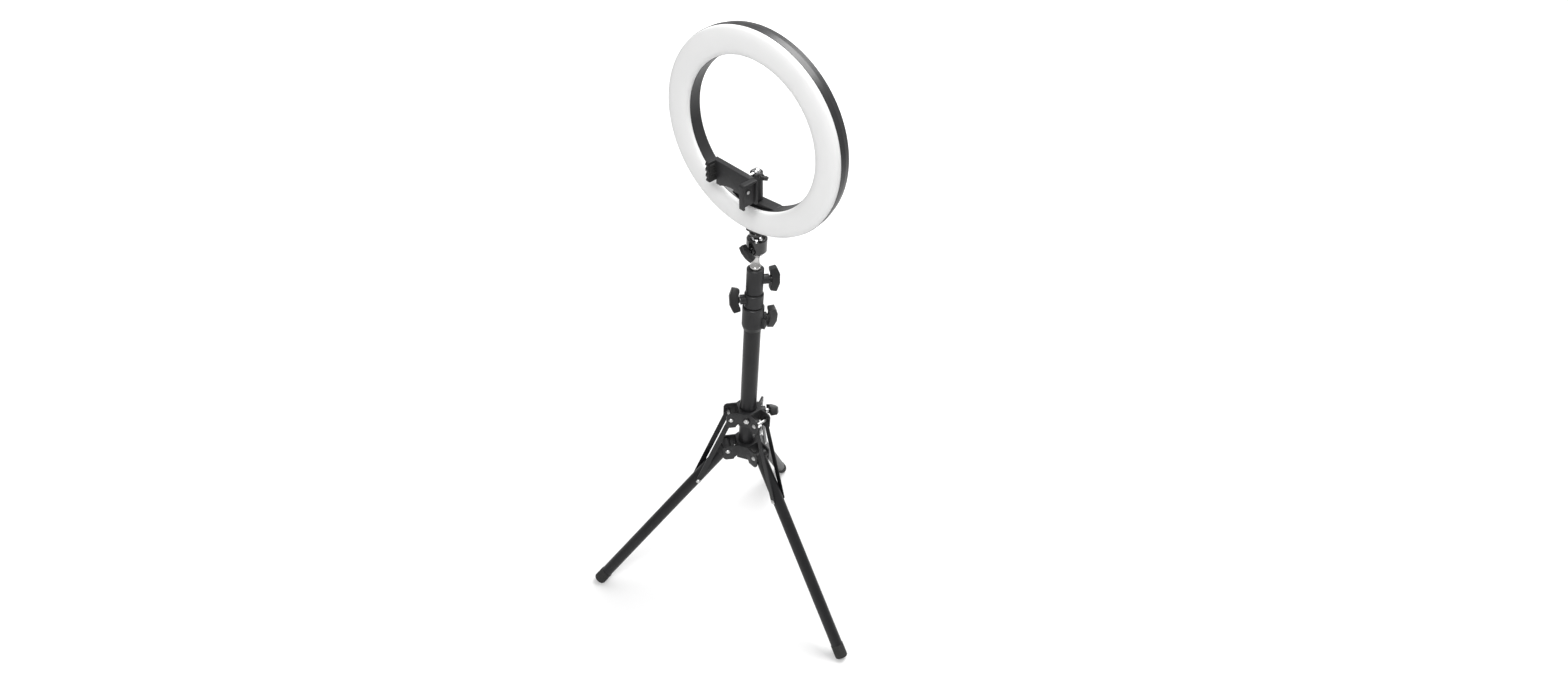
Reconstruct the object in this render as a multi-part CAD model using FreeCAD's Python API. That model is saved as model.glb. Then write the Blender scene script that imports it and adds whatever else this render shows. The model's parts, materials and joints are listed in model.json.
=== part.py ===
import FreeCAD, Part
import math
import os

os.makedirs("parts", exist_ok=True)

V = FreeCAD.Vector
Z_UP = V(0, 0, 1)
X_OUT = V(1, 0, 0)
Y_TAN = V(0, 1, 0)

# Ring light on a telescoping tripod stand. Millimetres, +Z up, the ring faces -Y.
# The column axis is drawn at x = y = 0 and everything is shifted at the end so that the
# centre of the footprint lies on the origin.
footprint_shift = V(-50.5, -16.6, 0)

# ring lamp
ring_outer_r = 149.2
ring_inner_r = 110.0
ring_back_r = 145.2
ring_half_depth = 11.4
dome_rise = 9.4
wall = 2.0
ring_tilt = 4.3            # lean of the lamp towards -Y, about the ball centre
ring_centre_up = 177.2      # ball centre to lamp centre
led_rows = (121.0, 129.0, 137.0)
leds_per_row = 36
chord_drop = 103.0          # accessory block's flat top, below the lamp centre

# column, from the outside in: outer radius, bore radius, bottom, top
tubes = (
    (13.3, 12.1, 289.0, 590.0),
    (11.6, 10.6, 300.0, 614.0),
    (10.0, 9.1, 303.0, 658.0),
    (8.5, 7.7, 306.0, 664.3),
)
# locking collars: bottom, top, outer radius, knob height, knob direction
collars = (
    (554.0, 595.7, 16.9, 573.0, 52.7),
    (596.2, 619.7, 14.8, 609.0, -127.3),
    (620.2, 664.0, 13.1, 643.0, 52.7),
)
knob_lean = (10.0, 25.0, -12.0)   # how far each collar's knob is turned about its own screw
runner_knob_lean = 58.0
slide_gap = 0.35

# tripod
leg_dirs = (-127.3, -7.3, 112.7)
leg_tube_r = 9.9
foot_cap_r = 10.7
leg_pivot_r, leg_pivot_z = 34.0, 308.0
foot_r, foot_z = 260.8, 8.0
brace_on_leg = 82.0         # leg pivot to brace rivet
brace_top_r, brace_top_z = 31.0, 378.0
brace_t = 1.6
brace_w = 9.0
brace_in = 10.0             # inner face of each strip, from the leg's plane
slot_half = 12.0            # half width of the slots in the two hubs
hub_wall = 2.4
pin_r = 2.5

# ball head
ball_z = 709.0
ball_r = 10.5
head_bottom, head_top, head_r = 690.6, 717.4, 15.4
head_knob_dir, head_knob_z = -85.0, 700.5
head_knob_lean = 50.0

# phone clamp and its small ball head
mini_ball_up = 61.0         # below the lamp centre, along the lamp's own upright
mini_ball_r = 6.5
clamp_y = 30.0              # small ball to the clamp's back face
clamp_yaw = -7.0            # the clamp is turned a little on the small ball head
clamp_half_h = 20.0
clamp_top = 17.5
clamp_left, clamp_right = -41.0, 28.0
clamp_t = 8.0
left_reach, right_reach = 14.0, 19.0
jaw_out = 37.0

leg_len = math.hypot(foot_r - leg_pivot_r, leg_pivot_z - foot_z)
leg_angle = math.degrees(math.atan2(foot_r - leg_pivot_r, leg_pivot_z - foot_z))
rivet_r = leg_pivot_r + brace_on_leg * math.sin(math.radians(leg_angle))
rivet_z = leg_pivot_z - brace_on_leg * math.cos(math.radians(leg_angle))


def cyl(r, h, p=(0, 0, 0), d=(0, 0, 1)):
    return Part.makeCylinder(r, h, V(*p), V(*d))


def cone(r1, r2, h, p=(0, 0, 0), d=(0, 0, 1)):
    return Part.makeCone(r1, r2, h, V(*p), V(*d))


def box(x0, x1, y0, y1, z0, z1):
    return Part.makeBox(x1 - x0, y1 - y0, z1 - z0, V(x0, y0, z0))


def fuse(shapes):
    out = shapes[0].fuse(shapes[1:]) if len(shapes) > 1 else shapes[0]
    return out.removeSplitter()


def prism(points, direction):
    wire = Part.makePolygon([V(*p) for p in points] + [V(*points[0])])
    return Part.Face(wire).extrude(V(*direction))


def turn(shape, angle, axis=Z_UP, centre=V(0, 0, 0)):
    out = shape.copy()
    out.rotate(centre, axis, angle)
    return out


def spin(points, axis_p, axis_d):
    wire = Part.makePolygon([V(*p) for p in points] + [V(*points[0])])
    return Part.Face(wire).revolve(axis_p, axis_d, 360)


def edges_where(shape, test):
    return [e for e in shape.Edges if test(e)]


def save(name, shape):
    out = shape.copy()
    out.translate(footprint_shift)
    out.exportStep("parts/%s.step" % name)


# ---- shared small pieces ---------------------------------------------------

def wing_knob(reach, shank, scale=1.0):
    """Chevron-shaped two-wing knob on a screw; +X points out of the boss.

    reach is the radius of the knob's inner hub face, shank the radius of the screw."""
    s = scale
    outline = [(-0.5, 5.5), (-4.6, 13.5), (-3.6, 17.6), (3.8, 19.4), (10.0, 7.0),
               (10.0, -7.0), (3.8, -19.4), (-3.6, -17.6), (-4.6, -13.5), (-0.5, -5.5)]
    bar = prism([(x * s, -7.0 * s, z * s) for x, z in outline], (0, 14.0 * s, 0))
    # facets: both flanks lean in towards the outer face
    for side in (1, -1):
        cut = prism([(3 * s, side * 7.6 * s, -25 * s), (12 * s, side * 4.8 * s, -25 * s),
                     (12 * s, side * 12 * s, -25 * s), (3 * s, side * 12 * s, -25 * s)], (0, 0, 50 * s))
        bar = bar.cut(cut)
    hub = cone(5.2 * s, 6.4 * s, 5 * s, (-5 * s, 0, 0), (1, 0, 0))
    body = fuse([bar, hub])
    body.translate(V(reach + 5 * s, 0, 0))
    screw_hole = cyl(shank, 8 * s + 1, (reach - 1, 0, 0), (1, 0, 0))
    return body.cut(screw_hole)


def knob_screw(r0, reach, shank, scale=1.0):
    tip = cone(shank * 0.6, shank, 1.0, (r0, 0, 0), (1, 0, 0))
    rod = cyl(shank, reach + 8 * scale - r0 - 1.0, (r0 + 1.0, 0, 0), (1, 0, 0))
    return fuse([tip, rod])


def set_out(shape, z, az):
    out = shape.copy()
    out.translate(V(0, 0, z))
    return turn(out, az)


# ---- column ----------------------------------------------------------------

def column_tube(i):
    r, bore, z0, z1 = tubes[i]
    return cyl(r, z1 - z0, (0, 0, z0)).cut(cyl(bore, z1 - z0 + 2, (0, 0, z0 - 1)))


def collar(i):
    z0, z1, r, kz, az = collars[i]
    tube_r, tz1 = tubes[i][0], tubes[i][3]
    next_r = tubes[i + 1][0] + slide_gap
    taper = 7.0 if i == 0 else 2.0
    body = fuse([cone(r - 2.4 if i == 0 else r - 0.8, r, taper, (0, 0, z0)),
                 cyl(r, z1 - z0 - taper - 1.2, (0, 0, z0 + taper)),
                 cone(r, r - 1.2, 1.2, (0, 0, z1 - 1.2))])
    boss = turn(cyl(7.6, 21.0 - tube_r, (tube_r, 0, kz), (1, 0, 0)), az)
    parts = [body, boss]
    if i == 0:
        # clamp ear beside the knob, split by a narrow slit
        ear = turn(box(r - 2, r + 4.4, -5.0, 5.0, z0 + 6, z0 + 22), az - 32)
        parts.append(ear)
    body = fuse(parts)
    body = body.cut(cyl(tube_r, tz1 - z0 + 1, (0, 0, z0 - 1)))
    body = body.cut(cyl(next_r, z1 - z0 + 2, (0, 0, z0 - 1)))
    body = body.cut(turn(cyl(3.05, 30, (next_r - 2, 0, kz), (1, 0, 0)), az))
    if i == 0:
        body = body.cut(turn(box(tube_r + 1.0, r + 12, -0.8, 0.8, z0 - 1, z0 + 26), az - 32))
    return body


def pierce_for_screw(shape, kz, az, r0):
    return shape.cut(turn(cyl(3.05, 30, (r0, 0, kz), (1, 0, 0)), az))


# ---- hubs ------------------------------------------------------------------

def hub(z0, z1, r_out, pivot_r, pivot_z, bore, arch, core_r):
    arms = []
    for az in leg_dirs:
        arm = box(0, r_out, -(slot_half + hub_wall), slot_half + hub_wall, z0, z1)
        corner = edges_where(arm, lambda e: abs(e.CenterOfMass.x - r_out) < 0.01 and abs(e.CenterOfMass.y) < 0.01)
        arm = arm.makeFillet(7.0, corner)
        arms.append(turn(arm, az))
    body = fuse(arms + [cyl(core_r + 4.5, z1 - z0, (0, 0, z0))])
    upright = edges_where(body, lambda e: abs(e.BoundBox.ZLength - (z1 - z0)) < 0.01 and e.BoundBox.XLength < 0.01
                          and e.BoundBox.YLength < 0.01 and math.hypot(e.CenterOfMass.x, e.CenterOfMass.y) < r_out - 8)
    body = body.makeFillet(5.0, upright)
    for az in leg_dirs:
        body = body.cut(turn(box(core_r, r_out + 5, -slot_half, slot_half, z0 - 1, z1 + 1), az))
        body = body.cut(turn(cyl(pin_r, 60, (pivot_r, -30, pivot_z), (0, 1, 0)), az))
        # each web between two arms is arched along its lower edge
        body = body.cut(turn(cyl(arch, 60, (core_r + 0.8, 0, z0 - 0.25 * arch), (1, 0, 0)), az + 60))
    return body.cut(cyl(bore, z1 - z0 + 2, (0, 0, z0 - 1)))


lower_hub = hub(290.0, 320.0, 42.0, leg_pivot_r, leg_pivot_z, tubes[0][0], 14.0, 17.2)
save("lower_hub", lower_hub)

runner_z0, runner_z1 = 362.0, 391.0
runner_dir, runner_knob_z = 52.7, 380.0
runner = hub(runner_z0, runner_z1, 38.5, brace_top_r, brace_top_z, tubes[0][0] + slide_gap, 13.0, 17.2)
runner = fuse([runner, turn(cyl(7.6, 14.0, (15.0, 0, runner_knob_z), (1, 0, 0)), runner_dir)])
runner = runner.cut(cyl(tubes[0][0] + slide_gap, 60, (0, 0, runner_z0 - 10)))
runner = runner.cut(turn(cyl(3.05, 30, (10, 0, runner_knob_z), (1, 0, 0)), runner_dir))
nut_dir = -55.0
nut_seat = fuse([cyl(2.5, 12, (15.0, 0, 0), (1, 0, 0)), cyl(6.0, 8, (22.4, 0, 0), (1, 0, 0))])
runner = runner.cut(set_out(nut_seat, runner_knob_z, nut_dir))
save("runner_hub", runner)

hex_pts = [(22.4, 4.6 * math.cos(math.radians(60 * k)), 4.6 * math.sin(math.radians(60 * k))) for k in range(6)]
nut = prism(hex_pts, (3.2, 0, 0))
nut = fuse([nut, cyl(2.5, 10.0, (16.5, 0, 0), (1, 0, 0))])
save("runner_screw", set_out(nut, runner_knob_z, nut_dir))

# ---- legs and braces -------------------------------------------------------

leg_dir_v = (math.sin(math.radians(leg_angle)), 0, -math.cos(math.radians(leg_angle)))
leg_start = 15.0            # the end fitting covers the first stretch


def on_leg(d):
    return (leg_pivot_r + leg_dir_v[0] * d, 0, leg_pivot_z + leg_dir_v[2] * d)


def leg_tube():
    length = leg_len - 2.0 - leg_start
    tube = cyl(leg_tube_r, length, on_leg(leg_start), leg_dir_v)
    bore = cyl(leg_tube_r - 1.0, length + 2, on_leg(leg_start - 1), leg_dir_v)
    return tube.cut(bore)


def leg_fitting():
    plug = cyl(leg_tube_r - 1.0, 22, on_leg(leg_start), leg_dir_v)
    neck = cyl(leg_tube_r, 12.0, on_leg(3.0), leg_dir_v)
    eye = cyl(8.0, 22.6, (leg_pivot_r, -11.3, leg_pivot_z), (0, 1, 0))
    return fuse([plug, neck, eye]).cut(cyl(pin_r + 0.05, 40, (leg_pivot_r, -20, leg_pivot_z), (0, 1, 0)))


def leg_foot():
    cap = fuse([cyl(foot_cap_r, 22.5, on_leg(leg_len - 19), leg_dir_v),
                cone(foot_cap_r, foot_cap_r - 1.0, 1.0, on_leg(leg_len + 3.5), leg_dir_v)])
    cap = cap.cut(cyl(leg_tube_r, 18.0, on_leg(leg_len - 20), leg_dir_v))
    # the sole is a flat facet on the floor
    return cap.common(box(100, 400, -60, 60, 0, 120))


def leg_pin():
    shaft = cyl(pin_r, 2 * (slot_half + hub_wall) + 1.0, (leg_pivot_r, -(slot_half + hub_wall) - 0.5, leg_pivot_z),
                (0, 1, 0))
    heads = []
    for side in (1, -1):
        y = side * (slot_half + hub_wall)
        head = cone(4.2, 2.6, 1.6, (leg_pivot_r, y, leg_pivot_z), (0, side, 0))
        heads.append(head)
    return fuse([shaft] + heads)


def brace_strip(side):
    y0 = brace_in if side > 0 else -brace_in - brace_t
    a = V(brace_top_r, y0, brace_top_z)
    b = V(rivet_r, y0, rivet_z)
    along = b.sub(a)
    length = along.Length
    along.normalize()
    across = V(-along.z, 0, along.x).multiply(brace_w / 2)
    flat = prism([tuple(a.add(across)), tuple(b.add(across)), tuple(b.sub(across)), tuple(a.sub(across))],
                 (0, brace_t, 0))
    ends = [cyl(brace_w / 2, brace_t, tuple(p), (0, 1, 0)) for p in (a, b)]
    strip = fuse([flat] + ends)
    return strip.cut(cyl(pin_r, brace_t + 2, (brace_top_r, y0 - 1, brace_top_z), (0, 1, 0))).cut(
        cyl(pin_r, brace_t + 2, (rivet_r, y0 - 1, rivet_z), (0, 1, 0)))


def brace_pins():
    # one long pin in the runner, and a short rivet in each strip's lower end
    half = slot_half + hub_wall
    out = [fuse([cyl(pin_r - 0.05, 2 * half + 1.0, (brace_top_r, -half - 0.5, brace_top_z), (0, 1, 0)),
                 cyl(pin_r, 2 * (brace_in + brace_t) + 0.2, (brace_top_r, -brace_in - brace_t - 0.1, brace_top_z),
                     (0, 1, 0)),
                 cone(4.0, 2.5, 1.5, (brace_top_r, half + 0.1, brace_top_z), (0, 1, 0)),
                 cone(4.0, 2.5, 1.5, (brace_top_r, -half - 0.1, brace_top_z), (0, -1, 0))])]
    for side in (1, -1):
        y = side * (brace_in + brace_t)
        out.append(fuse([cyl(pin_r, brace_t, (rivet_r, side * brace_in, rivet_z), (0, side, 0)),
                         cone(4.2, 2.6, 1.7, (rivet_r, y, rivet_z), (0, side, 0))]))
    return Part.makeCompound(out)


for n, az in enumerate(leg_dirs, 1):
    save("leg_tube_%d" % n, turn(leg_tube(), az))
    save("leg_fitting_%d" % n, turn(leg_fitting(), az))
    save("leg_foot_%d" % n, turn(leg_foot(), az))
    save("brace_%d" % n, turn(Part.makeCompound([brace_strip(1), brace_strip(-1)]), az))
    save("brace_pins_%d" % n, turn(brace_pins(), az))
save("leg_pins", Part.makeCompound([turn(leg_pin(), az) for az in leg_dirs]))

# ---- column pieces ---------------------------------------------------------

outer_tube = pierce_for_screw(column_tube(0), collars[0][3], collars[0][4], 0)
save("outer_tube", outer_tube)
save("collar_1", collar(0))
save("middle_tube", pierce_for_screw(column_tube(1), collars[1][3], collars[1][4], 0))
save("collar_2", collar(1))
save("inner_tube", pierce_for_screw(column_tube(2), collars[2][3], collars[2][4], 0))
save("collar_3", collar(2))
save("top_tube", column_tube(3))
plug = fuse([cyl(tubes[0][1], 8, (0, 0, 289.0)), cyl(tubes[0][0], 2.5, (0, 0, 286.5)),
             cone(tubes[0][0] - 1.5, tubes[0][0], 1.5, (0, 0, 285.0))])
save("bottom_plug", plug)

for n in range(3):
    kz, az = collars[n][3:]
    inner = tubes[n + 1][0] + slide_gap
    knob = turn(wing_knob(22.3, 3.0), knob_lean[n], X_OUT)
    screw = knob_screw(inner, 22.3, 3.0)
    save("knob_%d" % (n + 1), set_out(knob, kz, az))
    save("knob_screw_%d" % (n + 1), set_out(screw, kz, az))

runner_knob = turn(wing_knob(34.5, 3.0), runner_knob_lean, X_OUT)
save("runner_knob", set_out(runner_knob, runner_knob_z, runner_dir))
save("runner_knob_screw", set_out(knob_screw(tubes[0][0] + slide_gap, 34.5, 3.0), runner_knob_z, runner_dir))

# ---- spigot and ball head --------------------------------------------------

# silvery stud on the top tube: a plug in the tube, a base disc, a waisted neck and a thread
spigot = fuse([cyl(tubes[3][1], 26, (0, 0, 638.4)), cyl(8.6, 4.3, (0, 0, 664.3)),
               cone(8.6, 6.0, 5.0, (0, 0, 668.6)), cyl(5.9, 11.0, (0, 0, 673.6)),
               cone(5.9, 6.9, 2.4, (0, 0, 684.6)), cyl(6.9, 3.6, (0, 0, 687.0)),
               cyl(3.15, 6.5, (0, 0, 690.6))])
save("spigot", spigot)

head = fuse([cone(head_r - 4.0, head_r, 5.2, (0, 0, head_bottom + 0.3)),
             cyl(head_r, head_top - head_bottom - 5.5 - 1.8, (0, 0, head_bottom + 5.5)),
             cone(head_r, head_r - 1.8, 1.8, (0, 0, head_top - 1.8)),
             turn(cyl(6.2, 18.0, (0, 0, head_knob_z), (1, 0, 0)), head_knob_dir)])
head = head.cut(Part.makeSphere(ball_r + 0.3, V(0, 0, ball_z)))
head = head.cut(cone(9.0, 11.6, 3.5, (0, 0, head_top - 3.45)))
head = head.cut(cyl(3.25, 20, (0, 0, head_bottom - 1)))
# the lock screw ends in the shell's wall, clear of the ball
head = head.cut(turn(cyl(3.05, 12, (11.5, 0, head_knob_z), (1, 0, 0)), head_knob_dir))
save("head_shell", head)
head_knob = turn(wing_knob(18.6, 3.0, 0.72), head_knob_lean, X_OUT)
save("head_knob", set_out(head_knob, head_knob_z, head_knob_dir))
save("head_knob_screw", set_out(knob_screw(12.0, 18.6, 3.0, 0.72), head_knob_z, head_knob_dir))
save("head_ball", Part.makeSphere(ball_r, V(0, 0, ball_z)))

# ---- lamp, drawn with the ball centre at the origin and +Z up its stem ----------------

def lamp(shape):
    out = turn(shape, ring_tilt, X_OUT)
    out.translate(V(0, 0, ball_z))
    return out


centre = V(0, 0, ring_centre_up)
h = ring_half_depth


def around(points):
    """Revolve (radius, y) points about the lamp's own axis."""
    return spin([(r, y, ring_centre_up) for r, y in points], centre, Y_TAN)


stem_thread = ring_centre_up - ring_outer_r - 19.4 - 0.4
stem = fuse([cyl(4.0, 8.0, (0, 0, 8.0)), cone(4.0, 6.0, 1.5, (0, 0, 13.5)), cyl(11.0, 3.6, (0, 0, 15.0)),
             cone(11.0, 10.2, 0.8, (0, 0, 18.6)), cyl(3.15, stem_thread, (0, 0, 19.4))])
stem = stem.cut(Part.makeSphere(ball_r + 0.3, V(0, 0, 0)))
save("mount_stem", lamp(stem))

housing = around([(ring_outer_r, -h), (ring_outer_r - 0.4, -2), (ring_back_r + 1.4, h - 4.0),
                  (ring_back_r - 1.6, h - 1.2), (ring_back_r - 4.6, h), (ring_inner_r + 5.0, h), (ring_inner_r + 2.0, h - 1.2), (ring_inner_r, h - 4.0),
                  (ring_inner_r, -h), (ring_inner_r + wall, -h), (ring_inner_r + wall, h - 5.0),
                  (ring_inner_r + 5.6, h - wall), (ring_back_r - 5.2, h - wall), (ring_back_r - 1.2, h - 5.0),
                  (ring_outer_r - wall, -h)])
outer_drum = Part.makeCylinder(ring_outer_r - 1.0, 60, V(0, -30, ring_centre_up), Y_TAN)
bracket = box(-15, 15, -9.0, 9.0, 19.4, 34.0).cut(outer_drum)
upright = edges_where(bracket, lambda e: e.BoundBox.XLength < 0.01 and e.BoundBox.YLength < 0.01)
bracket = bracket.makeFillet(4.0, upright).cut(housing).cut(cyl(3.15, 20, (0, 0, 19.0)))
bracket = max(bracket.Solids, key=lambda s: s.Volume)
save("ring_bracket", lamp(bracket))

# power inlet: an oblong socket in the back wall, low on the right
inlet_x, inlet_z = 30.0, ring_centre_up - 124.0


def oblong(half, r, depth, y0):
    mid = box(inlet_x - half, inlet_x + half, y0, y0 + depth, inlet_z - r, inlet_z + r)
    caps = [cyl(r, depth, (inlet_x + s * half, y0, inlet_z), (0, 1, 0)) for s in (1, -1)]
    return fuse([mid] + caps)


housing = housing.cut(oblong(4.4, 2.6, 8, h - 5))
screw_angles = [20 + 40 * k for k in range(9)]
screw_r = (ring_inner_r + ring_back_r) / 2


def back_spot(angle, r=screw_r):
    a = math.radians(angle)
    return r * math.cos(a), ring_centre_up + r * math.sin(a)


for angle in screw_angles:
    x, z = back_spot(angle)
    housing = housing.cut(cyl(3.0, 1.2, (x, h - 1.2, z), (0, 1, 0))).cut(cyl(1.6, 6, (x, h - 4, z), (0, 1, 0)))
save("ring_housing", lamp(housing))
screws = []
for angle in screw_angles:
    x, z = back_spot(angle)
    s = fuse([cyl(2.9, 1.1, (x, h - 1.2, z), (0, 1, 0)), cyl(1.5, 5.5, (x, h - 6.6, z), (0, 1, 0))])
    slot = box(x - 0.4, x + 0.4, h - 0.8, h + 1, z - 1.9, z + 1.9)
    screws.append(s.cut(slot).cut(turn(slot, 90, Y_TAN, V(x, h, z))))
save("housing_screws", lamp(Part.makeCompound(screws)))

inlet = oblong(4.4, 2.55, 6.0, h - 6.5).cut(oblong(3.2, 1.5, 6.0, h - 5.6))
inlet = fuse([inlet, oblong(2.4, 0.45, 4.2, h - 6.0)])
save("inlet_socket", lamp(inlet))


def dome_points(inset, lift, steps=14):
    """Cross-section of the domed front: a flattened half ellipse from rim to rim."""
    half = (ring_outer_r - ring_inner_r) / 2 - inset
    mid = (ring_outer_r + ring_inner_r) / 2
    pts = []
    for k in range(steps + 1):
        a = math.pi * k / steps
        c, s = math.cos(a), math.sin(a)
        pts.append((mid + half * math.copysign(abs(c) ** 0.75, c), -h - lift * s ** 0.75))
    return pts


def dome_solid(inset, lift):
    pts = [V(r, y, ring_centre_up) for r, y in dome_points(inset, lift)]
    curve = Part.BSplineCurve()
    curve.interpolate(pts)
    edge = curve.toShape()
    base = Part.LineSegment(pts[-1], pts[0]).toShape()
    return Part.Face(Part.Wire([edge, base])).revolve(centre, Y_TAN, 360)


dome = dome_solid(0.0, dome_rise).cut(dome_solid(1.8, dome_rise - 1.6))
save("diffuser", lamp(dome))

board_y = 1.5
board = around([(ring_inner_r + 4, board_y), (ring_outer_r - 5.5, board_y), (ring_outer_r - 5.5, board_y + 1.6),
                (ring_inner_r + 4, board_y + 1.6)])
save("led_board", lamp(board))
posts = []
for angle in screw_angles:
    x, z = back_spot(angle)
    post = cyl(3.4, h - wall - board_y - 1.6, (x, board_y + 1.6, z), (0, 1, 0))
    posts.append(post.cut(cyl(1.5, 20, (x, -5, z), (0, 1, 0))))
save("board_posts", lamp(Part.makeCompound(posts)))
chips = []
for row in led_rows:
    for k in range(leds_per_row):
        chip = box(row - 1.4, row + 1.4, board_y - 0.9, board_y, -1.75, 1.75)
        chip.translate(V(0, 0, ring_centre_up))
        chips.append(turn(chip, 360.0 * k / leds_per_row, Y_TAN, centre))
save("led_chips", lamp(Part.makeCompound(chips)))

# accessory block: fills the circle's lowest segment up to a flat top
segment = Part.makeCylinder(ring_inner_r, 17.0, V(0, -8.0, ring_centre_up), Y_TAN)
block = segment.common(box(-80, 80, -8, 9, 0, ring_centre_up - chord_drop))
block = block.cut(cyl(3.15, 6, (0, 0, ring_centre_up - chord_drop - 5)))
save("accessory_block", lamp(block))

# small ball head on the block
mini_z = ring_centre_up - mini_ball_up
mini_base = ring_centre_up - chord_drop
mini_knob_z = mini_z - 3.0
mini = fuse([cone(8.0, 9.0, 1.2, (0, 0, mini_base + 0.3)),
             cyl(9.0, mini_z + 1.6 - mini_base - 2.4, (0, 0, mini_base + 1.5)),
             cone(9.0, 8.1, 0.9, (0, 0, mini_z + 0.7)),
             cyl(4.4, 11.5, (0, 0, mini_knob_z), (1, 0, 0))])
mini = mini.cut(Part.makeSphere(mini_ball_r + 0.3, V(0, 0, mini_z)))
mini = mini.cut(box(-3.6, 3.6, -12, 0, mini_z - 5.6, mini_z + 5))
mini = mini.cut(cyl(2.05, 8, (7.5, 0, mini_knob_z), (1, 0, 0)))
mini = fuse([mini, cyl(3.1, 5.2, (0, 0, mini_base - 4.6))])
save("mini_head_shell", lamp(turn(mini, clamp_yaw)))
mini_knob = wing_knob(12.2, 2.0, 0.42)
mini_knob = turn(mini_knob, 62, X_OUT)
mini_knob.translate(V(0, 0, mini_knob_z))
save("mini_head_knob", lamp(turn(mini_knob, clamp_yaw)))
mini_screw = knob_screw(8.0, 12.2, 2.0, 0.42)
mini_screw.translate(V(0, 0, mini_knob_z))
save("mini_head_screw", lamp(turn(mini_screw, clamp_yaw)))

mini_ball = fuse([Part.makeSphere(mini_ball_r, V(0, 0, mini_z)),
                  cyl(2.4, clamp_y - 4.0 - 4.0, (0, -4.0, mini_z), (0, -1, 0)),
                  cyl(8.0, 3.7, (0, -clamp_y + 4.0, mini_z), (0, -1, 0))])
mini_ball = fuse([mini_ball, cyl(3.1, 4.3, (0, -clamp_y + 0.3, mini_z), (0, -1, 0))])
save("mini_ball", lamp(turn(mini_ball, clamp_yaw)))

# ---- phone clamp, drawn about the small ball's centre -----------------------------------
t = math.radians(ring_tilt)
mini_world = V(0, -math.sin(t) * mini_z, ball_z + math.cos(t) * mini_z)


def clamp_place(shape):
    out = turn(turn(shape, clamp_yaw), ring_tilt, X_OUT)
    out.translate(mini_world)
    return out


y_back, y_front = -clamp_y, -clamp_y - clamp_t
ch = clamp_half_h
plate = box(clamp_left, clamp_right, y_front, y_back, -ch, clamp_top)
# scooped lower edge
plate = plate.cut(cyl(58.0, clamp_t + 2, (-6.0, y_back + 1, -ch - 51.5), (0, -1, 0)))
# pocket for the sliding jaw's arm, open on the right
plate = plate.cut(box(-26.0, clamp_right + 1, y_back - 5.9, y_back - 2.1, 3.2, 15.0))
left_bottom = -ch + 6.5
fixed_jaw = box(clamp_left - 5.5, clamp_left, y_front - left_reach, y_back, left_bottom, clamp_top)
round_off = edges_where(fixed_jaw, lambda e: abs(e.CenterOfMass.y - y_front + left_reach) < 0.01
                        and e.BoundBox.ZLength < 0.01)
plate = fuse([plate, fixed_jaw.makeFillet(3.5, round_off)])
for k in range(3):
    z = left_bottom + 6.0 + 9.0 * k
    plate = plate.cut(cyl(2.9, 12, (clamp_left - 11, y_front - left_reach - 1.2, z), (1, 0, 0)))
plate = plate.cut(cyl(3.15, 6, (0, y_back + 1, 0), (0, -1, 0))).removeSplitter()
pad_y0, pad_y1 = y_front - left_reach + 3.0, y_front - 2.0
pad_z0, pad_z1 = left_bottom + 3.0, clamp_top - 4.0
plate = plate.cut(box(clamp_left - 1, clamp_left + 1.4, pad_y0, pad_y1, pad_z0, pad_z1))
save("clamp_back", clamp_place(plate))


def grooved(shape, x0, x1):
    """Cut level grooves into a pad's face between x0 and x1."""
    for k in range(5):
        z = pad_z0 + 2.0 + 4.3 * k
        shape = shape.cut(box(x0, x1, y_front - 30, y_front, z, z + 1.4))
    return shape


save("fixed_pad", clamp_place(grooved(box(clamp_left - 1, clamp_left + 1.6, pad_y0, pad_y1, pad_z0, pad_z1),
                                      clamp_left + 0.9, clamp_left + 2)))

jx0 = clamp_right + 0.5
jaw_y = y_front - right_reach
jaw = box(jx0, jaw_out, jaw_y, y_back - 1.0, -ch, clamp_top)
round_off = edges_where(jaw, lambda e: e.CenterOfMass.z > 0 and e.BoundBox.ZLength < 0.01
                        and e.BoundBox.YLength < 0.01)
jaw = jaw.makeFillet(3.0, round_off)
jaw = jaw.cut(box(jx0 + 3.2, jaw_out + 1, jaw_y + 3.2, y_back - 4.2, -ch - 1, clamp_top - 3.2))
arm = box(-16.0, jx0 + 1, y_back - 5.5, y_back - 2.5, 3.6, 14.6)
jaw = fuse([jaw, arm])
pad_y0 = jaw_y + 3.0
jaw = jaw.cut(box(jx0 - 1, jx0 + 1.4, pad_y0, pad_y1, pad_z0, pad_z1))
jaw = jaw.cut(cyl(1.5, 8, (jx0 + 1.0, y_front - 6.0, 1.5), (1, 0, 0)))
# window in the arm that houses the spring
jaw = jaw.cut(box(-10.0, 24.0, y_back - 6, y_back - 2, 6.2, 12.0))
save("clamp_jaw", clamp_place(jaw))
save("jaw_pad", clamp_place(grooved(box(jx0 - 0.6, jx0 + 1.4, pad_y0, pad_y1, pad_z0, pad_z1), jx0 - 1, jx0 - 0.1)))
jaw_screw = fuse([cyl(2.6, 1.4, (jx0 + 3.2, y_front - 6.0, 1.5), (1, 0, 0)),
                  cyl(1.5, 2.9, (jx0 + 1.5, y_front - 6.0, 1.5), (1, 0, 0))])
save("jaw_screw", clamp_place(jaw_screw))
spring = cyl(1.4, 33.4, (-9.7, y_back - 4.0, 9.1), (1, 0, 0))
save("jaw_spring", clamp_place(spring))
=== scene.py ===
import bpy
import bmesh
import json
import math
from mathutils import Matrix, Vector

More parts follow.
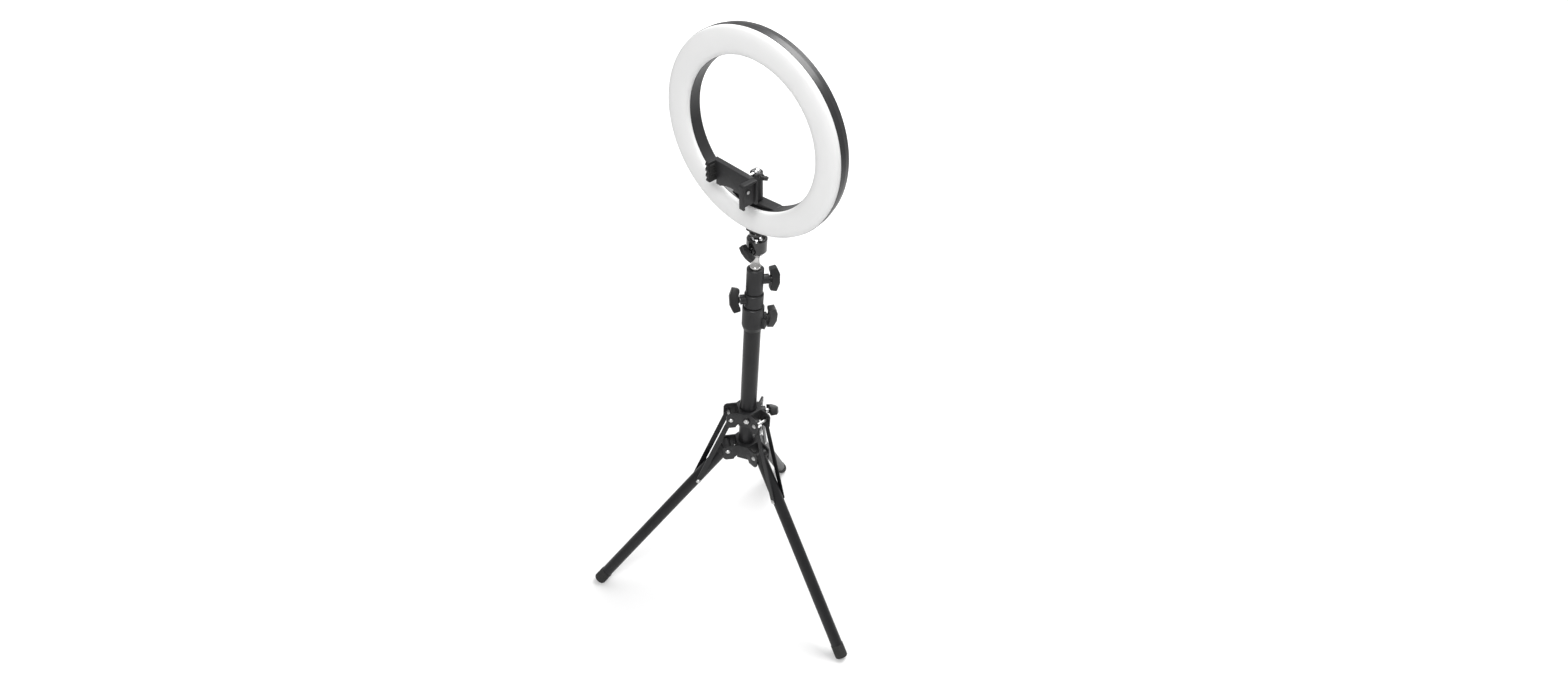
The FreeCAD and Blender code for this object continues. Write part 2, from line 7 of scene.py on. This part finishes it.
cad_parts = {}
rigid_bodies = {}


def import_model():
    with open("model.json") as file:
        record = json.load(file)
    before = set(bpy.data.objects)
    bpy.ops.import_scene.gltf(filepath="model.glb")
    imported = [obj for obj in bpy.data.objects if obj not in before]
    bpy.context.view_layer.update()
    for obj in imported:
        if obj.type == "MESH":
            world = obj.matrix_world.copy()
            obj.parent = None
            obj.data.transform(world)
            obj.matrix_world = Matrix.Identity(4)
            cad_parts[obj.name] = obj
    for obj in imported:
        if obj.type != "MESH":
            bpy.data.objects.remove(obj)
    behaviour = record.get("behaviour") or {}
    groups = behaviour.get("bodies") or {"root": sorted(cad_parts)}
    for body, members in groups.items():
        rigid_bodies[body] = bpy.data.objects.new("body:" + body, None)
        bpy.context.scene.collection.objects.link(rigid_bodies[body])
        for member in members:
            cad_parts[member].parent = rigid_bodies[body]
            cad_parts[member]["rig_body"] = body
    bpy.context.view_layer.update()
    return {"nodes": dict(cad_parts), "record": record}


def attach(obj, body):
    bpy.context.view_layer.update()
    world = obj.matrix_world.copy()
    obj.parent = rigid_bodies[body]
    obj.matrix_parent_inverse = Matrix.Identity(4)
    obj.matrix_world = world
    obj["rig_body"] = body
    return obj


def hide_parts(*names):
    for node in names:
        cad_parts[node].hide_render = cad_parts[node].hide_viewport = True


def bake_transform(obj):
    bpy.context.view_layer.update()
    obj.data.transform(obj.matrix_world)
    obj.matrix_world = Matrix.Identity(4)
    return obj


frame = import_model()
NODES = frame["nodes"]


# ---- material building blocks --------------------------------------------------

def new_material(name):
    m = bpy.data.materials.new(name)
    m.use_nodes = True
    nt = m.node_tree
    return m, nt, nt.nodes["Principled BSDF"]


def node(nt, kind, **values):
    n = nt.nodes.new(kind)
    for k, v in values.items():
        setattr(n, k, v)
    return n


def noise(nt, coord, scale, detail=4.0, rough=0.55):
    n = node(nt, "ShaderNodeTexNoise")
    n.inputs["Scale"].default_value = scale
    n.inputs["Detail"].default_value = detail
    n.inputs["Roughness"].default_value = rough
    nt.links.new(coord, n.inputs["Vector"])
    return n.outputs["Fac"]


def ramp(nt, fac, stops):
    """Grey ramp through (position, value) stops."""
    r = node(nt, "ShaderNodeValToRGB")
    for e, (position, value) in zip(r.color_ramp.elements, stops):
        e.position = position
        e.color = (value, value, value, 1)
    nt.links.new(fac, r.inputs["Fac"])
    return r.outputs["Color"]


def mix(nt, fac, a, b):
    m = node(nt, "ShaderNodeMix", data_type="RGBA")
    factor, first, second = m.inputs[0], m.inputs[6], m.inputs[7]
    for socket, v in ((factor, fac), (first, a), (second, b)):
        if isinstance(v, bpy.types.NodeSocket):
            nt.links.new(v, socket)
        else:
            socket.default_value = (*v, 1)
    return m.outputs[2]


def remap(nt, value, to_min, to_max, from_min=0.0, from_max=1.0):
    m = node(nt, "ShaderNodeMapRange")
    m.inputs["From Min"].default_value = from_min
    m.inputs["From Max"].default_value = from_max
    m.inputs["To Min"].default_value = to_min
    m.inputs["To Max"].default_value = to_max
    nt.links.new(value, m.inputs["Value"])
    return m.outputs["Result"]


def times(nt, a, b):
    m = node(nt, "ShaderNodeMath", operation="MULTIPLY")
    nt.links.new(a, m.inputs[0])
    nt.links.new(b, m.inputs[1])
    return m.outputs["Value"]


def bump(nt, height, strength, distance, normal=None):
    b = node(nt, "ShaderNodeBump")
    b.inputs["Strength"].default_value = strength
    b.inputs["Distance"].default_value = distance
    nt.links.new(height, b.inputs["Height"])
    if normal is not None:
        nt.links.new(normal, b.inputs["Normal"])
    return b.outputs["Normal"]


def surface(name, base, light, rough, rough_spread=0.06, grain=900.0, grain_depth=0.00004, metallic=0.0,
            edge=0.0006, wear=0.0, wear_colour=(0.3, 0.3, 0.3), coat=0.0, specular=0.5):
    """Moulded plastic, paint or metal: cloudy colour, fine grain, softened and slightly worn edges.

    base and light are the two colours of the clouds, edge is the softening radius in metres, and
    wear is how strongly the edges turn to wear_colour.
    """
    m, nt, bsdf = new_material(name)
    coord = node(nt, "ShaderNodeTexCoord").outputs["Object"]
    cloud_scale, rough_scale, rub_scale = 25.0, 75.0, 160.0
    cloud = noise(nt, coord, cloud_scale, 3.0)
    fine = noise(nt, coord, grain, 3.0, 0.7)
    colour = mix(nt, ramp(nt, cloud, [(0.3, 0.0), (0.7, 1.0)]), base, light)
    bevel = node(nt, "ShaderNodeBevel", samples=4)
    bevel.inputs["Radius"].default_value = edge
    if wear > 0:
        geo = node(nt, "ShaderNodeNewGeometry")
        dot = node(nt, "ShaderNodeVectorMath", operation="DOT_PRODUCT")
        nt.links.new(bevel.outputs["Normal"], dot.inputs[0])
        nt.links.new(geo.outputs["Normal"], dot.inputs[1])
        worn = ramp(nt, dot.outputs["Value"], [(0.86, wear), (0.985, 0.0)])
        rub = ramp(nt, noise(nt, coord, rub_scale), [(0.45, 0.0), (0.65, 1.0)])
        colour = mix(nt, times(nt, worn, rub), colour, wear_colour)
    nt.links.new(colour, bsdf.inputs["Base Color"])
    nt.links.new(remap(nt, noise(nt, coord, rough_scale), rough - rough_spread, rough + rough_spread),
                 bsdf.inputs["Roughness"])
    nt.links.new(bump(nt, fine, 0.35, grain_depth, bevel.outputs["Normal"]), bsdf.inputs["Normal"])
    bsdf.inputs["Metallic"].default_value = metallic
    bsdf.inputs["Coat Weight"].default_value = coat
    bsdf.inputs["Specular IOR Level"].default_value = specular
    return m


def diffuser_material():
    """Matt white plastic that lets a little light in."""
    m, nt, bsdf = new_material("diffuser_plastic")
    coord = node(nt, "ShaderNodeTexCoord").outputs["Object"]
    cloud = noise(nt, coord, 9.0, 3.0)
    nt.links.new(mix(nt, cloud, (0.80, 0.80, 0.80), (0.86, 0.86, 0.855)), bsdf.inputs["Base Color"])
    nt.links.new(remap(nt, noise(nt, coord, 40.0), 0.46, 0.58), bsdf.inputs["Roughness"])
    fine = noise(nt, coord, 1500.0, 3.0, 0.7)
    nt.links.new(bump(nt, fine, 0.3, 0.00004), bsdf.inputs["Normal"])
    bsdf.inputs["Subsurface Weight"].default_value = 0.25
    bsdf.inputs["Subsurface Radius"].default_value = (0.004, 0.004, 0.004)
    bsdf.inputs["Subsurface Scale"].default_value = 1.0
    return m


# ---- materials, by the record's material slot ------------------------------------

M = {
    "housing_plastic": surface("housing_plastic", (0.012, 0.012, 0.013), (0.018, 0.018, 0.019), 0.36, 0.05,
                               grain=1400.0),
    "diffuser_plastic": diffuser_material(),
    "tube_black": surface("tube_black", (0.008, 0.008, 0.009), (0.013, 0.013, 0.014), 0.36, 0.05,
                          grain=1200.0, edge=0.0004, specular=0.32),
    "casting_black": surface("casting_black", (0.012, 0.012, 0.013), (0.022, 0.022, 0.023), 0.42, 0.07,
                             grain=700.0, grain_depth=0.00008, edge=0.0009, wear=0.25,
                             wear_colour=(0.09, 0.09, 0.09), specular=0.36),
    "knob_black": surface("knob_black", (0.010, 0.010, 0.011), (0.018, 0.018, 0.018), 0.40, 0.06,
                          grain=800.0, grain_depth=0.00008, edge=0.0011, wear=0.3,
                          wear_colour=(0.08, 0.08, 0.08), specular=0.42),
    "head_black": surface("head_black", (0.006, 0.006, 0.006), (0.009, 0.009, 0.009), 0.12, 0.03,
                          grain=1800.0, grain_depth=0.00001, edge=0.0006, coat=0.6),
    "chrome": surface("chrome", (0.72, 0.72, 0.73), (0.80, 0.80, 0.81), 0.10, 0.04,
                      grain=1500.0, grain_depth=0.00001, metallic=1.0, edge=0.0004),
    "spigot_metal": surface("spigot_metal", (0.55, 0.54, 0.53), (0.68, 0.67, 0.66), 0.24, 0.06,
                            grain_depth=0.00003, metallic=1.0, edge=0.0005),
    "steel": surface("steel", (0.50, 0.50, 0.50), (0.66, 0.66, 0.65), 0.30, 0.08,
                     grain_depth=0.00003, metallic=1.0, edge=0.0004),
    "rubber": surface("rubber", (0.014, 0.014, 0.014), (0.024, 0.024, 0.023), 0.72, 0.08,
                      grain=500.0, grain_depth=0.00012, edge=0.0009),
    "clamp_plastic": surface("clamp_plastic", (0.016, 0.016, 0.017), (0.024, 0.024, 0.025), 0.46, 0.06,
                             grain=1100.0, grain_depth=0.00006, edge=0.0007, wear=0.2,
                             wear_colour=(0.1, 0.1, 0.1), specular=0.36),
    "board_white": surface("board_white", (0.75, 0.75, 0.74), (0.82, 0.82, 0.81), 0.5, 0.05, grain=800.0),
    "led_yellow": surface("led_yellow", (0.75, 0.62, 0.12), (0.82, 0.7, 0.2), 0.35, 0.05, grain=800.0),
}

slot_of = {s["node"]: s["material_slot"] for s in frame["record"]["subparts"]}
for name, o in NODES.items():
    o.data.materials.clear()
    o.data.materials.append(M[slot_of[name]])


# ---- places, in millimetres and degrees --------------------------------------------

def mm(*v):
    return Vector(v) / 1000


def spin(degrees, axis):
    return Matrix.Rotation(math.radians(degrees), 4, axis)


ORIGIN_SHIFT = (-50.5, -16.6, 0.0)      # the column's axis on the floor
BALL_HEIGHT = 709.0
LAMP_TILT = 4.3
RING_UP = 177.2                         # from the ball to the ring's centre, along the stem
CLAMP_DROP = 61.0                       # from the ring's centre down to the clamp's ball
CLAMP_YAW = -7.0

COLUMN = Matrix.Translation(mm(*ORIGIN_SHIFT))
LAMP = COLUMN @ Matrix.Translation(mm(0, 0, BALL_HEIGHT)) @ spin(LAMP_TILT, "X")    # front is -Y
RING = LAMP @ Matrix.Translation(mm(0, 0, RING_UP)) @ spin(90.0, "X")               # front is local +Z
CLAMP = LAMP @ Matrix.Translation(mm(0, 0, RING_UP - CLAMP_DROP)) @ spin(CLAMP_YAW, "Z")


# ---- modelling helpers ---------------------------------------------------------

def link_mesh(name, bm, material):
    """Object from a bmesh, smooth shaded, with one material."""
    mesh = bpy.data.meshes.new(name)
    bm.to_mesh(mesh)
    bm.free()
    mesh.materials.append(material)
    for p in mesh.polygons:
        p.use_smooth = True
    o = bpy.data.objects.new(name, mesh)
    bpy.context.scene.collection.objects.link(o)
    return o


def finish_piece(name, bm, slot, body, stands_for, place=None, smooth=35.0):
    """A new piece that rides its body and stands for a CAD node; edges over smooth degrees stay sharp."""
    bmesh.ops.remove_doubles(bm, verts=bm.verts, dist=1e-7)
    bmesh.ops.recalc_face_normals(bm, faces=bm.faces)
    if place is not None:
        bm.transform(place)
    o = link_mesh(name, bm, M[slot])
    o.data.set_sharp_from_angle(angle=math.radians(smooth))
    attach(o, body)
    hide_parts(stands_for)


def add_lathe(bm, profile, place=Matrix.Identity(4), segments=128):
    """Revolve (radius, height) points, in millimetres, about the local Z axis of place."""
    turns = [2 * math.pi * k / segments for k in range(segments)]
    rings = []
    for r, h in profile:
        if r < 1e-6:
            rings.append([bm.verts.new(place @ mm(0, 0, h))])
        else:
            rings.append([bm.verts.new(place @ mm(r * math.cos(a), r * math.sin(a), h)) for a in turns])
    for a, b in zip(rings, rings[1:]):
        for k in range(segments):
            n = (k + 1) % segments
            if len(a) == 1:
                bm.faces.new((a[0], b[k], b[n]))
            elif len(b) == 1:
                bm.faces.new((a[k], a[n], b[0]))
            else:
                bm.faces.new((a[k], a[n], b[n], b[k]))


def round_corners(points, radius, steps):
    """Open polyline of (x, y) with its inner corners rounded."""
    out = [points[0]]
    for a, b, c in zip(points, points[1:], points[2:]):
        a, b, c = Vector(a), Vector(b), Vector(c)
        r = min(radius, (a - b).length * 0.45, (c - b).length * 0.45)
        p, q = b + (a - b).normalized() * r, b + (c - b).normalized() * r
        for k in range(steps + 1):
            t = k / steps
            out.append(tuple((1 - t) ** 2 * p + 2 * t * (1 - t) * b + t * t * q))
    out.append(points[-1])
    return out


def rounded(node_name, width, segments, sharp_over=32.0):
    """A CAD node with its sharp edges really rounded off, by width millimetres."""
    bm = bmesh.new()
    bm.from_mesh(NODES[node_name].data)
    bmesh.ops.remove_doubles(bm, verts=bm.verts, dist=2e-6)
    bmesh.ops.dissolve_limit(bm, angle_limit=math.radians(1.0), verts=bm.verts, edges=bm.edges,
                             delimit={"NORMAL"})
    sharp = [e for e in bm.edges
             if len(e.link_faces) == 2 and e.calc_face_angle(0) > math.radians(sharp_over)]
    bmesh.ops.bevel(bm, geom=sharp, offset=width / 1000, offset_type="OFFSET", segments=segments,
                    profile=0.5, affect="EDGES", clamp_overlap=True, loop_slide=True)
    finish_piece(node_name + "_skin", bm, slot_of[node_name], NODES[node_name]["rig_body"], node_name,
                 smooth=50.0)


# ---- lamp --------------------------------------------------------------------

def diffuser_skin():
    """Domed front: a flattened half ellipse that tucks into the housing's rim."""
    outer, inner, front, rise = 149.2, 110.0, 11.4, 9.4
    half, middle, fullness, steps = (outer - inner) / 2, (outer + inner) / 2, 0.75, 36
    profile = [(outer - 2.2, front - 2.2), (outer - 1.2, front - 1.6)]
    for k in range(steps + 1):
        a = math.pi * k / steps
        across = math.copysign(abs(math.cos(a)) ** fullness, math.cos(a))
        profile.append((middle + (half - 0.5) * across, front + rise * math.sin(a) ** fullness))
    profile += [(inner + 1.2, front - 1.6), (inner + 2.2, front - 2.2)]
    bm = bmesh.new()
    add_lathe(bm, profile, RING, 256)
    finish_piece("diffuser_skin", bm, "diffuser_plastic", "ring", "diffuser", smooth=60.0)


diffuser_skin()


# ---- knobs ---------------------------------------------------------------------

def wing_knob(name, place, scale, body):
    """Chunky two-wing knob: chevron outline, flanks that lean in, soft edges and a round hub."""
    outline = [(-1.5, 5.8), (-5.2, 11.5), (-5.0, 17.2), (5.0, 19.6), (10.3, 7.5),
               (10.3, -7.5), (5.0, -19.6), (-5.0, -17.2), (-5.2, -11.5), (-1.5, -5.8)]
    half_thick, lean_in, edge = 7.2, 0.028, 1.3
    bm = bmesh.new()
    near, far = [[bm.verts.new(mm(x, side * half_thick * (1 - lean_in * max(0.0, x)), z) * scale)
                  for x, z in outline] for side in (-1, 1)]
    n = len(outline)
    for k in range(n):
        bm.faces.new((near[k], near[(k + 1) % n], far[(k + 1) % n], far[k]))
    bm.faces.new(near[::-1])
    bm.faces.new(far)
    bmesh.ops.bevel(bm, geom=list(bm.edges), offset=edge * scale / 1000, offset_type="OFFSET", segments=3,
                    profile=0.5, affect="EDGES", clamp_overlap=True)
    hub = [(0.0, -5.0), (4.6, -5.0), (5.2, -4.4), (5.6, -2.0), (6.6, 1.5)]
    add_lathe(bm, [(r * scale, h * scale) for r, h in hub], spin(90.0, "Y"), 48)
    finish_piece(name + "_skin", bm, "knob_black", body, name, place, smooth=30.0)


def on_column(azimuth, height, reach, lean, scale=1.0):
    """Place of a knob that points away from the column, its wings leaning from upright."""
    hub_depth = 5.0 * scale
    return COLUMN @ spin(azimuth, "Z") @ Matrix.Translation(mm(reach + hub_depth, 0, height)) @ spin(lean, "X")


wing_knob("knob_1", on_column(52.7, 573.0, 22.3, 10.0), 1.0, "lock_1")
wing_knob("knob_2", on_column(-127.3, 609.0, 22.3, 25.0), 1.0, "lock_2")
wing_knob("knob_3", on_column(52.7, 643.0, 22.3, -12.0), 1.0, "lock_3")
wing_knob("runner_knob", on_column(52.7, 380.0, 34.5, 58.0), 1.0, "runner_lock")
wing_knob("head_knob", on_column(-85.0, 700.5, 18.6, 50.0, 0.72), 0.72, "head_lock")
wing_knob("mini_head_knob", CLAMP @ Matrix.Translation(mm(14.3, 0, -3.0)) @ spin(62.0, "X"), 0.42, "mini_lock")


# ---- spigot: base disc, flared foot, waisted neck, collar under the head -----------

def spigot():
    outline = [(0.0, 640.0), (7.6, 640.0), (7.6, 664.35), (8.6, 664.5), (8.6, 668.4), (7.7, 669.0),
               (6.1, 673.2), (5.3, 677.0), (5.3, 682.0), (5.9, 685.0), (6.9, 687.0), (6.9, 690.5),
               (3.1, 690.5), (3.1, 697.0), (0.0, 697.0)]
    bm = bmesh.new()
    add_lathe(bm, round_corners(outline, 0.9, 5), segments=96)
    finish_piece("spigot_skin", bm, "spigot_metal", "section_3", "spigot", COLUMN, smooth=40.0)


spigot()


# ---- rubber feet ---------------------------------------------------------------

def foot(n, azimuth):
    """Rubber foot: a ribbed cap on the tube's end, cut flat where it stands."""
    pivot = Vector((34.0, 0.0, 308.0))              # the leg's pin, out from the column and up
    leg = Vector((260.8, 0.0, 8.0)) - pivot
    length, along = leg.length, leg.normalized()
    leg_place = (COLUMN @ spin(azimuth, "Z") @ Matrix.Translation(mm(*pivot))
                 @ along.to_track_quat("Z", "X").to_matrix().to_4x4())
    ribs, pitch, cap_r, groove_r = 5, 3.0, 10.7, 10.2
    profile = [(9.95, length - 18.9), (10.45, length - 18.9), (cap_r, length - 18.4)]
    for k in range(ribs):
        h = length - 16.8 + pitch * k
        profile += [(cap_r, h), (groove_r, h + 0.4), (groove_r, h + 1.1), (cap_r, h + 1.5)]
    profile += [(cap_r, length + 3.3), (9.9, length + 4.4), (0.0, length + 4.5)]
    bm = bmesh.new()
    add_lathe(bm, profile, segments=72)
    bm.transform(leg_place)
    for v in bm.verts:
        v.co.z = max(v.co.z, 0.0)
    finish_piece("leg_foot_%d_skin" % n, bm, "rubber", "leg_%d" % n, "leg_foot_%d" % n, smooth=28.0)


for n, azimuth in enumerate((-127.3, -7.3, 112.7), 1):
    foot(n, azimuth)

# ---- round-edged pieces: node, rounding in millimetres, steps ------------------------

for node_name, width, segments in (
        ("clamp_back", 0.8, 3), ("clamp_jaw", 0.7, 3), ("fixed_pad", 0.25, 2), ("jaw_pad", 0.25, 2),
        ("lower_hub", 0.9, 3), ("runner_hub", 0.9, 3), ("accessory_block", 0.5, 3),
        ("ring_bracket", 1.0, 3), ("runner_screw", 0.4, 2), ("jaw_screw", 0.25, 2)):
    rounded(node_name, width, segments)


# ---- jaw spring ----------------------------------------------------------------

def spring():
    """Coil spring of the sliding jaw: one end on the clamp, the other on the jaw."""
    turns, per_turn, around_wire = 17, 14, 6
    wire_r, coil_r = 0.28, 1.1
    start, end = Vector((-9.4, -34.0, 9.1)), Vector((23.4, -34.0, 9.1))
    total = turns * per_turn
    bm = bmesh.new()
    last = None
    for k in range(total + 1):
        a = 2 * math.pi * k / per_turn
        out = Vector((0, math.cos(a), math.sin(a)))
        centre = start.lerp(end, k / total) + coil_r * out
        ring = []
        for j in range(around_wire):
            b = 2 * math.pi * j / around_wire
            ring.append(bm.verts.new(
                mm(*(centre + wire_r * (math.cos(b) * out + math.sin(b) * Vector((1, 0, 0)))))))
        if last:
            for j in range(around_wire):
                i = (j + 1) % around_wire
                bm.faces.new((last[j], last[i], ring[i], ring[j]))
        last = ring
    bm.transform(CLAMP)
    o = link_mesh("jaw_spring_coil", bm, M["steel"])
    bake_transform(o)
    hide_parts("jaw_spring")


spring()

# ---- stage -------------------------------------------------------------------

VIEW_AZIMUTH, VIEW_ELEVATION = 44.0, 37.86


def floor_material():
    m, nt, bsdf = new_material("studio_floor")
    coord = node(nt, "ShaderNodeTexCoord").outputs["Object"]
    nt.links.new(mix(nt, noise(nt, coord, 2.0, 2.0), (0.79, 0.79, 0.79), (0.81, 0.81, 0.81)),
                 bsdf.inputs["Base Color"])
    bsdf.inputs["Roughness"].default_value = 0.8
    bsdf.inputs["Specular IOR Level"].default_value = 0.1
    # a glow that only camera rays see, growing away from the stand, keeps the paper white
    far = node(nt, "ShaderNodeVectorMath", operation="LENGTH")
    nt.links.new(coord, far.inputs[0])
    glow = remap(nt, far.outputs["Value"], 0.11, 0.85, from_min=0.6, from_max=2.6)
    path = node(nt, "ShaderNodeLightPath")
    bsdf.inputs["Emission Color"].default_value = (1, 1, 1, 1)
    nt.links.new(times(nt, path.outputs["Is Camera Ray"], glow), bsdf.inputs["Emission Strength"])
    return m


def stage():
    """Paper sweep: a flat floor that curves up into a wall behind the lamp."""
    near, bend, radius, top, half_width, steps = -3.0, 2.2, 1.2, 4.0, 6.0, 12
    profile = [(near, 0.0)]
    for k in range(steps + 1):
        a = math.pi / 2 * k / steps
        profile.append((bend + radius * math.sin(a), radius - radius * math.cos(a)))
    profile.append((bend + radius, top))
    bm = bmesh.new()
    left, right = [[bm.verts.new((side, y, z)) for y, z in profile] for side in (-half_width, half_width)]
    for i in range(len(profile) - 1):
        bm.faces.new((left[i], right[i], right[i + 1], left[i + 1]))
    floor = link_mesh("floor", bm, floor_material())
    floor.rotation_euler = (0, 0, math.radians(VIEW_AZIMUTH))


stage()


# ---- light -------------------------------------------------------------------

def aimed(name, data, place, direction):
    """Link a light or camera at place, looking along direction."""
    o = bpy.data.objects.new(name, data)
    o.location = place
    o.rotation_euler = direction.to_track_quat("-Z", "Y").to_euler()
    bpy.context.scene.collection.objects.link(o)
    return o


def area_light(name, place, aim, size, power):
    data = bpy.data.lights.new(name, "AREA")
    data.shape = "DISK"
    data.size = size
    data.energy = power
    aimed(name, data, place, Vector(aim) - Vector(place))


area_light("key", (0.8, -1.5, 2.6), (0, 0, 0.6), 1.1, 38)
area_light("rear", (0.1, 0.95, 2.3), (0, 0, 0.85), 1.5, 44)


def studio_world(ambient, seen_white):
    """Soft grey light from all round; the camera itself sees white."""
    world = bpy.data.worlds.new("studio")
    world.use_nodes = True
    nt = world.node_tree
    surround = nt.nodes["Background"]
    seen = node(nt, "ShaderNodeBackground")
    for background, strength in ((surround, ambient), (seen, seen_white)):
        background.inputs["Color"].default_value = (1, 1, 1, 1)
        background.inputs["Strength"].default_value = strength
    path = node(nt, "ShaderNodeLightPath")
    both = node(nt, "ShaderNodeMixShader")
    nt.links.new(path.outputs["Is Camera Ray"], both.inputs[0])
    nt.links.new(surround.outputs["Background"], both.inputs[1])
    nt.links.new(seen.outputs["Background"], both.inputs[2])
    nt.links.new(both.outputs["Shader"], nt.nodes["World Output"].inputs["Surface"])
    return world


bpy.context.scene.world = studio_world(ambient=0.48, seen_white=1.0)
bpy.context.scene.view_settings.view_transform = "Standard"

# ---- camera ------------------------------------------------------------------

view_az, view_el = math.radians(VIEW_AZIMUTH), math.radians(VIEW_ELEVATION)
look = Vector((-math.sin(view_az) * math.cos(view_el), math.cos(view_az) * math.cos(view_el),
               -math.sin(view_el)))
cam_data = bpy.data.cameras.new("camera")
cam_data.sensor_width = 36.0
cam_data.lens = 22.96
cam_data.shift_x = 0.0635
cam_data.shift_y = 0.002
cam_data.clip_start, cam_data.clip_end = 0.05, 50.0
bpy.context.scene.camera = aimed("camera", cam_data, (0.7285, -0.9738, 1.4805), look)
